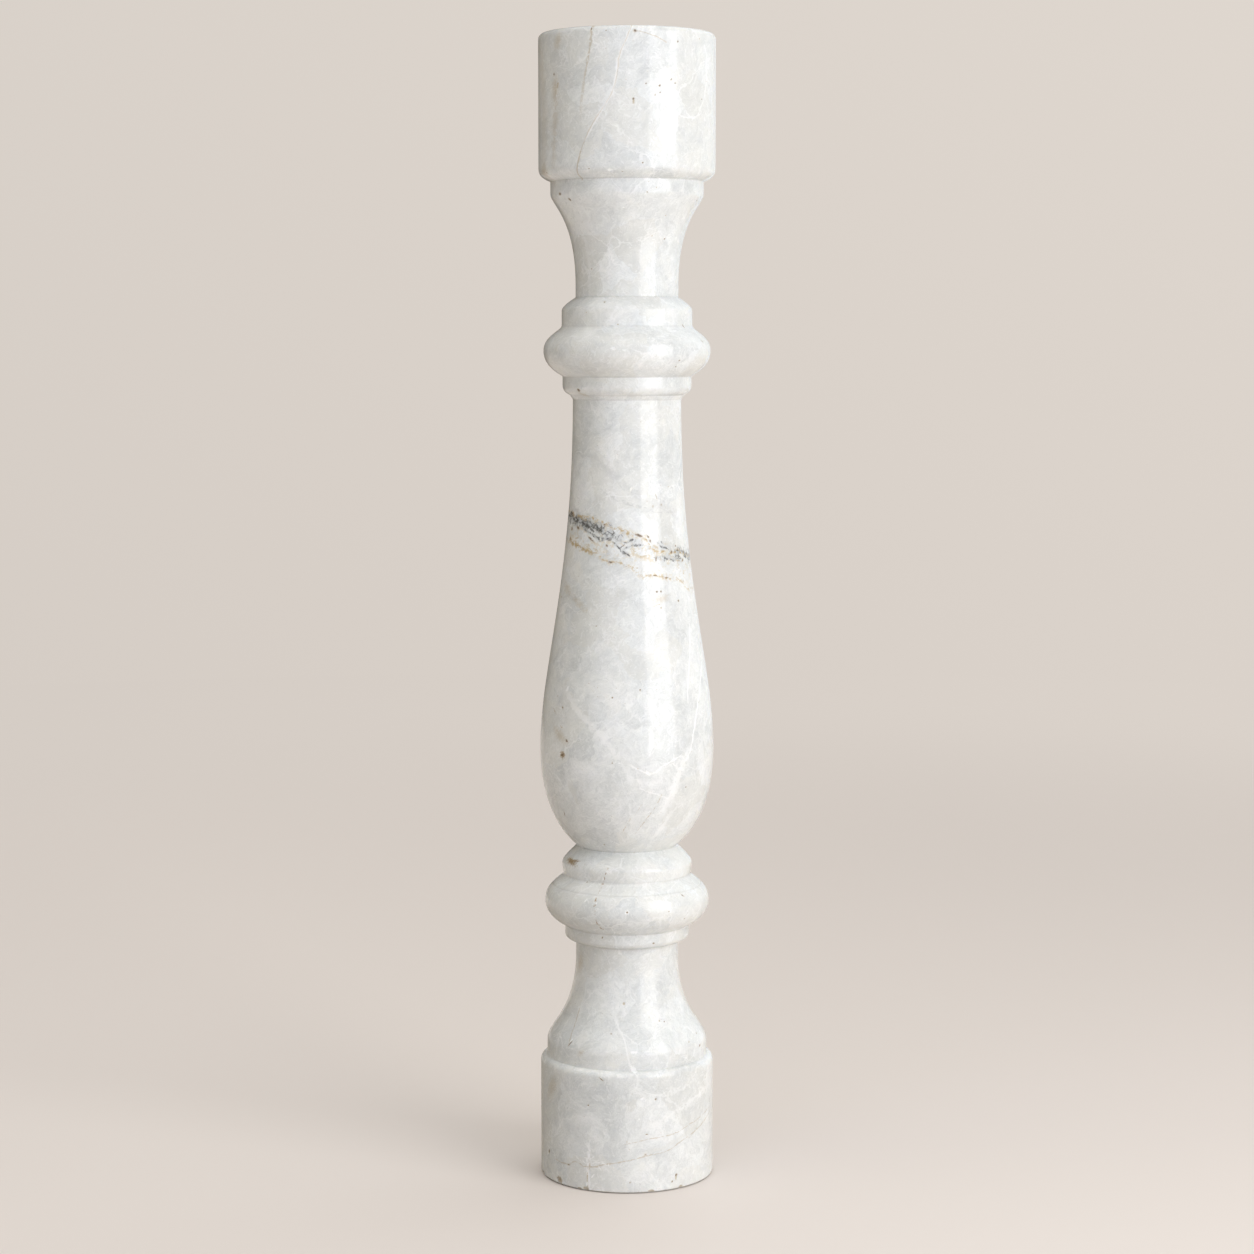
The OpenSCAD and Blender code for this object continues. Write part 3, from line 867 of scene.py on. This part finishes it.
def sheet(level, fall, reach):
    """1 in the middle of a sheet whose height is level - fall * x, and 0 at reach mm from it,
    with its faces pushed about by noise."""
    off = calc("ADD", calc("SUBTRACT", height, level), calc("MULTIPLY", axes.outputs[0], fall))
    return between(calc("ABSOLUTE", calc("MULTIPLY_ADD", wander, 9.0, off)), reach, 0.0)


round_shaft = between(angle, -180, 180, ease="LINEAR")
heavy = curve(round_shaft, ((0, 0.65), (0.29, 0.85), (0.36, 1), (0.43, 0.75), (0.48, 0.5),
                            (0.54, 0.3), (0.6, 0.35), (0.67, 0.75), (0.72, 0.85), (0.85, 0.7),
                            (1, 0.65)))
dark_sheet = calc("MULTIPLY", sheet(BAND_HEIGHT, SHEET_FALL, 7.5), heavy)
wide_sheet = sheet(BAND_HEIGHT - 6, SHEET_FALL, 17)
ground = paint(ground, calc("MULTIPLY", dark_sheet, between(patchy.outputs[0], 0.36, 0.54)), 0.74, SLATE)
honey_lines = calc("MULTIPLY", between(grain_edge, 0.6, 0.1), between(patchy.outputs[2], 0.5, 0.6))
ground = paint(ground, calc("MULTIPLY", honey_lines, wide_sheet), 0.5, HONEY)
dark_lines = calc("MULTIPLY", between(grain_edge, 0.62, 0.12), between(patchy.outputs[0], 0.42, 0.54))
ground = paint(ground, between(calc("MULTIPLY", dark_lines, dark_sheet), 0.1, 0.75), 0.8, CHARCOAL)

# %% [markdown]
# Where the sheet comes out at the front its dark lines run together into threads. Each is
# drawn twice with the same knots: a wide soft grey one, and a narrow black one over it.

# %% Dark threads that the sheet leaves at the front
SMOKE = ((0, 0.2), (0.15, 1), (0.85, 1), (1, 0.2))
dark_threads = [
    ([(-86, 463), (-80, 461), (-58, 457), (-44, 454), (-31, 452), (-20, 449), (-10, 446)], 2.6, 0.85),
    ([(-60, 457), (-50, 455), (-40, 453)], 5.0, 0.8),
    ([(-46, 452), (-33, 448), (-23, 445), (-14, 445)], 2.0, 0.8),
    ([(-14, 444), (-10, 442), (-7, 439), (-4, 436), (0, 435), (3, 433)], 1.5, 0.8),
    ([(-8, 439), (-4, 441), (-1, 443), (6, 445)], 1.3, 0.8),
    ([(-5, 438), (0, 440), (5, 441), (14, 442)], 1.2, 0.7),
    ([(28, 444), (43, 437), (62, 435), (84, 431)], 1.6, 0.85),
    ([(24, 433), (37, 432), (49, 430)], 1.4, 0.75),
]
for knots, width, strength in dark_threads:
    ground = paint(ground, vein(False, knots, width * 2.2, SMOKE, 3.4, 0.30), 0.38 * strength, SLATE)
    ground = paint(ground, vein(False, knots, width, SMOKE, 3.4, 0.44), 0.85 * strength, CHARCOAL)
print("threads:", len(dark_threads))

# %% [markdown]
# Iron has crept out of the sheet and stopped in rusty lines above and below it. The upper and
# the lower one go right round the shaft, so each begins and ends at one height at the back.

# %% Iron lines above and below the sheet
GILT = (0.53, 0.40, 0.20, 1)
upper_iron = [(-180, 446), (-120, 456), (-84, 462), (-51, 460), (-35, 459), (-22, 456), (-11, 453),
              (-1, 450), (7, 448), (13, 447), (19, 444), (24, 439), (34, 436), (45, 436), (59, 435),
              (78, 432), (120, 436), (180, 446)]
lower_iron = [(-180, 432), (-120, 440), (-72, 444), (-48, 439), (-35, 436), (-27, 435), (-17, 430),
              (-9, 430), (-2, 428), (6, 426), (15, 421), (23, 421), (36, 419), (54, 416), (71, 410),
              (120, 418), (180, 432)]
inner_iron = [(-70, 452), (-50, 445), (-36, 440), (-24, 437), (-8, 436), (6, 437), (20, 436),
              (34, 431), (52, 430), (78, 426)]
FULL = ((0, 1), (1, 1))
iron_lines = [
    (0.55, HONEY, LEVEL, upper_iron, 4.6, dict(shows=FULL, sway=3.0, broken=0.44)),
    (0.75, GILT, LEVEL, upper_iron, 1.9, dict(shows=FULL, sway=3.0, broken=0.46)),
    (0.5, HONEY, LEVEL, lower_iron, 4.8, dict(shows=FULL, sway=3.4, broken=0.45)),
    (0.6, GILT, LEVEL, lower_iron, 1.7, dict(shows=FULL, sway=3.4, broken=0.47)),
    (0.55, HONEY, LEVEL, [(4, 436), (7, 435), (17, 433), (22, 433)], 4.0, dict(shows=HAZY, sway=2.0,
     broken=0.34)),
    (0.45, GILT, LEVEL, inner_iron, 2.0, dict(shows=HAZY, sway=5.0, broken=0.52)),
    (0.8, GILT, LEVEL, [(-76, 443), (-60, 441), (-48, 439), (-36, 436), (-28, 436)], 2.6,
     dict(shows=HAZY, sway=2.0, broken=0.36)),
]
ground = with_veins(ground, iron_lines)
print("iron lines:", len(iron_lines))

# %% [markdown]
# The flecks and pits are in the mesh, and each vertex knows its reach into them. A noise
# added to that reach frays the edges, so the ellipses don't show as ellipses. A little shade
# is painted into the quirks, and a darker contact shadow along the lowest edge, where the
# piece stands.

# %% Flecks, stains and fresh chips
UMBER = (0.17, 0.105, 0.055, 1)
OCHRE = (0.50, 0.385, 0.205, 1)
BROWN = (0.36, 0.265, 0.155, 1)
# The next colour is painted shade, for the quirks and for a contact shadow at the foot
PAINTED_SHADE = (0.26, 0.23, 0.185, 1)
fray = calc("MULTIPLY", calc("SUBTRACT", noise(place, 1.2, 3, 0.65), 0.5), 1.7)


def inside(name, start, stop, fray_share=1.0):
    """Share of a flaw's finish, from the reach that the mesh holds under name. The finish
    begins where the frayed reach is start, and is full where it is stop."""
    reach = add("ShaderNodeAttribute", attribute_name=name).outputs["Fac"]
    return between(calc("MULTIPLY_ADD", fray, fray_share, reach), start, stop)


in_pale = inside("pale", -0.1, 0.35)
in_umber = inside("umber", -0.1, 0.4)
in_chip = inside("chipped", -0.1, 0.15, 0.5)
ground = paint(ground, inside("stain", -0.5, 1.0, 1.3), 0.36, OCHRE)
ground = paint(ground, in_pale, 0.75, MILK)
ground = paint(ground, inside("ochre", -0.15, 0.6, 1.3), 0.6, OCHRE)
ground = paint(ground, inside("brown", -0.35, 0.75, 1.4), 0.9, BROWN)
ground = paint(ground, inside("umber", -0.7, 0.2), 0.35, OCHRE)
ground = paint(ground, in_umber, 0.85, UMBER)
ground = paint(ground, inside("charcoal", -0.05, 0.5, 1.3), 0.8, CHARCOAL)
ground = paint(ground, in_chip, 0.75, TAN)

# %% Painted shade in the quirks and a painted contact shadow at the foot
in_quirk = add("ShaderNodeAttribute", attribute_name="quirk").outputs["Fac"]
# painted shade in the creases, where the outline bends inwards
ground = paint(ground, between(in_quirk, 0.1, 0.7), 0.12, PAINTED_SHADE)
# a painted contact shadow along the lowest millimetre and a half, frayed by noise
ground = paint(ground, between(calc("MULTIPLY_ADD", fray, 0.6, height), 1.5, 0.4), 0.6, PAINTED_SHADE)

# %% [markdown]
# Polished marble is glossy where the crystal is sound and dull where it is broken, so its
# roughness follows the flaws, and the bed and the top face stay sawn. Light goes in a
# millimetre or two and comes out warmer, and pinholes and grain give the faintest relief.

# %% Polish, glow and the smallest relief
PINHOLE_SPACING = 5.0
POLISHED = 0.10
DULLER_WISPS = 0.07
BROKEN_OR_SAWN = 0.33
pinholes = add("ShaderNodeTexVoronoi", {"Vector": place, "Scale": 1 / PINHOLE_SPACING},
               feature="F1")
pinhole = calc("MULTIPLY", between(pinholes.outputs["Distance"], 0.09, 0.05),
               between(clouds, 0.5, 0.6))
ground = paint(ground, pinhole, 0.35, RUST)
flawed = calc("MAXIMUM", calc("MAXIMUM", in_pale, in_umber), in_chip)
top = HEIGHT / MM
bed = calc("ADD", between(height, 0.3, 0.05), between(height, top - 0.3, top - 0.05))
rough = calc("MULTIPLY_ADD", wisps, DULLER_WISPS, POLISHED)
rough = calc("MULTIPLY_ADD", calc("MAXIMUM", flawed, bed), BROKEN_OR_SAWN, rough)
tree.links.new(rough, shader.inputs["Roughness"])
tree.links.new(ground, shader.inputs["Base Color"])
shader.inputs["Subsurface Weight"].default_value = 0.45
shader.inputs["Subsurface Radius"].default_value = (1.0, 0.9, 0.75)
shader.inputs["Subsurface Scale"].default_value = 0.002
shader.inputs["IOR"].default_value = 1.52
relief = calc("MULTIPLY_ADD", pinhole, -0.08, calc("MULTIPLY", noise(place, 11, 3), 0.05))
relief = calc("MULTIPLY_ADD", grain, 0.004, relief)
bump = add("ShaderNodeBump", {"Height": relief, "Distance": 0.001, "Strength": 1.0})
tree.links.new(bump.outputs[0], shader.inputs["Normal"])
baluster.data.materials.append(marble)
print("marble:", len(tree.nodes), "nodes")

# %% Tie the piece to the frame
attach(baluster, "root")
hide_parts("baluster")

# %% [markdown]
# ## The studio
# The piece stands on a pale paper floor. Far from it the paper fades into a backdrop of the
# same tone, so every view has the same plain ground. A tall soft light at the right front
# gives the long upright highlight and most of the light. The rest comes from the room: a
# bright ceiling, pale walls at the front, and a dim corner behind on the left. The paper
# that the eye sees is painted lighter on the left and darker on the right, against the pool
# that the light throws on its side, and the backdrop is painted a little brighter towards
# the light.

# %% Floor
FLOOR = -0.0001
PAPER = (0.765, 0.705, 0.658, 1)
# PAPER_DIM is painted shade: the paper near the piece on the left, as bounced light sees it
PAPER_DIM = (0.36, 0.32, 0.28, 1)
# PAPER_LEFT and PAPER_RIGHT paint the paper that the eye sees lighter on the left and darker on the
# right, against the light's pool
PAPER_LEFT = (0.790, 0.735, 0.692, 1)
PAPER_RIGHT = (0.748, 0.694, 0.654, 1)
PAPER_EDGE = 3.0
KEY_FOOT = (1.10, -1.02, 0)
BACKDROP_LOW = (0.690, 0.632, 0.580, 1)
BACKDROP_HIGH = (0.722, 0.665, 0.610, 1)
SPOKES = 96
RINGS = 30
# LEFT_SHARE and RIGHT_SHARE paint the backdrop a little brighter towards the light on the right
LEFT_SHARE, RIGHT_SHARE = 0.965, 1.02
ring = np.linspace(0, PAPER_EDGE, RINGS + 1)[1:]
turns = np.arange(SPOKES) * 2 * np.pi / SPOKES
paper_points = np.stack([np.outer(ring, np.sin(turns)), -np.outer(ring, np.cos(turns)),
                         np.full((RINGS, SPOKES), FLOOR)], -1).reshape(-1, 3)
i, j = np.meshgrid(np.arange(RINGS - 1), np.arange(SPOKES), indexing="ij")
after = (j + 1) % SPOKES
paper_faces = np.stack([i * SPOKES + j, (i + 1) * SPOKES + j, (i + 1) * SPOKES + after,
                        i * SPOKES + after], -1).reshape(-1, 4)
floor_mesh = bpy.data.meshes.new("studio_floor")
floor_mesh.from_pydata(paper_points.tolist(), [], [list(range(SPOKES))] + paper_faces.tolist())
studio_floor = bpy.data.objects.new("studio_floor", floor_mesh)
bpy.context.scene.collection.objects.link(studio_floor)

# %% [markdown]
# The paper's material does two jobs. Light that bounces sees paper with painted shade near
# the piece on the left, darker than the lamps leave it there. The eye sees paper painted
# lighter on the left and darker on the right, and it fades into the backdrop's colour far
# away and round the foot of the light, where the paper would burn out.

# %% The paper and how it fades
paper = bpy.data.materials.new("studio_paper")
paper.use_nodes = True
tree = paper.node_tree
spot = add("ShaderNodeTexCoord").outputs["Object"]
far = add("ShaderNodeVectorMath", {0: spot}, operation="LENGTH").outputs["Value"]
aside = add("ShaderNodeSeparateXYZ", {0: spot}).outputs[0]
seen = add("ShaderNodeLightPath").outputs["Is Camera Ray"]
# painted shade on the paper near the piece on the left, seen only by bounced light and reflections
near_left = calc("MULTIPLY", between(aside, 0.03, -0.12), between(far, 0.95, 0.4))
dimmed = blend(near_left, PAPER, PAPER_DIM)
# painted light and shade: the seen paper lighter on the left, darker on the right
graded = blend(between(aside, -0.4, 0.4, ease="LINEAR"), PAPER_LEFT, PAPER_RIGHT)
tree.links.new(blend(seen, dimmed, graded), tree.nodes["Principled BSDF"].inputs["Base Color"])
tree.nodes["Principled BSDF"].inputs["Roughness"].default_value = 0.9
# the backdrop's glow, painted a little brighter towards the light on the right
plain = add("ShaderNodeEmission", {"Color": BACKDROP_LOW,
                                   "Strength": between(aside, -0.9, 0.9, LEFT_SHARE, RIGHT_SHARE,
                                                       "LINEAR")})
from_key = add("ShaderNodeVectorMath", {0: spot, 1: KEY_FOOT}, operation="DISTANCE").outputs["Value"]
fade = calc("MAXIMUM", between(far, 1.0, 2.6), between(from_key, 1.05, 0.55))
faded = add("ShaderNodeMixShader", {0: calc("MULTIPLY", seen, fade),
                                    1: tree.nodes["Principled BSDF"].outputs[0], 2: plain.outputs[0]})
tree.links.new(faded.outputs[0], tree.nodes["Material Output"].inputs[0])
floor_mesh.materials.append(paper)

# %% [markdown]
# A room round a glossy piece is seen in its polish. Each wall is a stretch of directions with
# its own light, one blended over another, and the ceiling lies over them all.

# %% The room, as the light that comes from each direction
world = bpy.data.worlds.new("studio")
world.use_nodes = True
bpy.context.scene.world = world
tree = world.node_tree
direction = add("ShaderNodeSeparateXYZ", {0: add("ShaderNodeTexCoord").outputs["Generated"]})
away = calc("ARCTAN2", direction.outputs[0], calc("MULTIPLY", direction.outputs[1], -1.0))
away = calc("MULTIPLY", away, DEGREES)
rise = calc("MULTIPLY", calc("ARCSINE", direction.outputs[2]), DEGREES)


def wall(under, start, stop, soft, light):
    """Light from the directions between two angles round the room, over what was there."""
    share = calc("MULTIPLY", between(away, start - soft, start + soft),
                 between(away, stop + soft, stop - soft))
    return blend(share, under, light)


room = wall((0.14, 0.115, 0.09, 1), -86, -42, 3, (0.46, 0.43, 0.29, 1))
room = wall(room, -45, 12, 8, (0.64, 0.64, 0.72, 1))
room = wall(room, 8, 30, 8, (0.47, 0.56, 0.76, 1))
room = wall(room, 112, 190, 14, (0.83, 0.87, 0.89, 1))
room = blend(between(rise, 44, 56), room, (1.38, 1.33, 1.27, 1))
backdrop = blend(between(rise, -7, 7, ease="LINEAR"), BACKDROP_LOW, BACKDROP_HIGH)
# painted light: the seen backdrop a little brighter towards the light on the right
across_view = between(direction.outputs[0], -0.22, 0.22, LEFT_SHARE, RIGHT_SHARE, "LINEAR")
backdrop = add("ShaderNodeVectorMath", {0: backdrop, 3: across_view}, operation="SCALE").outputs[0]
seen = add("ShaderNodeLightPath").outputs["Is Camera Ray"]
tree.links.new(blend(seen, room, backdrop), tree.nodes["Background"].inputs[0])
print("studio:", len(tree.nodes), "nodes in the room's light")

# %% The tall soft light
def soft_light(name, azimuth, distance, height, wide, tall, radiance):
    """A rectangle that looks level at the axis from azimuth degrees right of the front. Its
    energy in watts is pi times its area times the radiance asked for."""
    lamp = bpy.data.lights.new(name, "AREA")
    lamp.shape = "RECTANGLE"
    lamp.size = wide
    lamp.size_y = tall
    lamp.energy = math.pi * wide * tall * radiance
    holder = bpy.data.objects.new(name, lamp)
    bpy.context.scene.collection.objects.link(holder)
    turn = math.radians(azimuth)
    holder.location = (distance * math.sin(turn), -distance * math.cos(turn), height)
    holder.rotation_euler = (math.radians(90), 0, turn)
    holder.visible_camera = False
    return holder


key = soft_light("key", azimuth=47, distance=1.5, height=0.86, wide=1.03, tall=1.68, radiance=3.3)
print("key light:", round(key.data.energy, 1), "W")

# %% [markdown]
# The camera stands two metres off with a long lens, somewhat above the middle of the piece,
# and looks slightly down. It sees the base drum from above and the top drum from below.

# %% The camera
CAMERA_BACK = 1.953
CAMERA_HEIGHT = 0.578
CAMERA_DOWN = math.radians(5.73)
CAMERA_LENS = 81.82
CAMERA_FILM = 36
camera = bpy.data.objects.new("camera", bpy.data.cameras.new("camera"))
camera.data.lens = CAMERA_LENS
camera.data.sensor_width = CAMERA_FILM
camera.location = (0, -CAMERA_BACK, CAMERA_HEIGHT)
camera.rotation_euler = (math.pi / 2 - CAMERA_DOWN, 0, 0)
bpy.context.scene.collection.objects.link(camera)
bpy.context.scene.camera = camera
bpy.context.scene.view_settings.view_transform = "Standard"
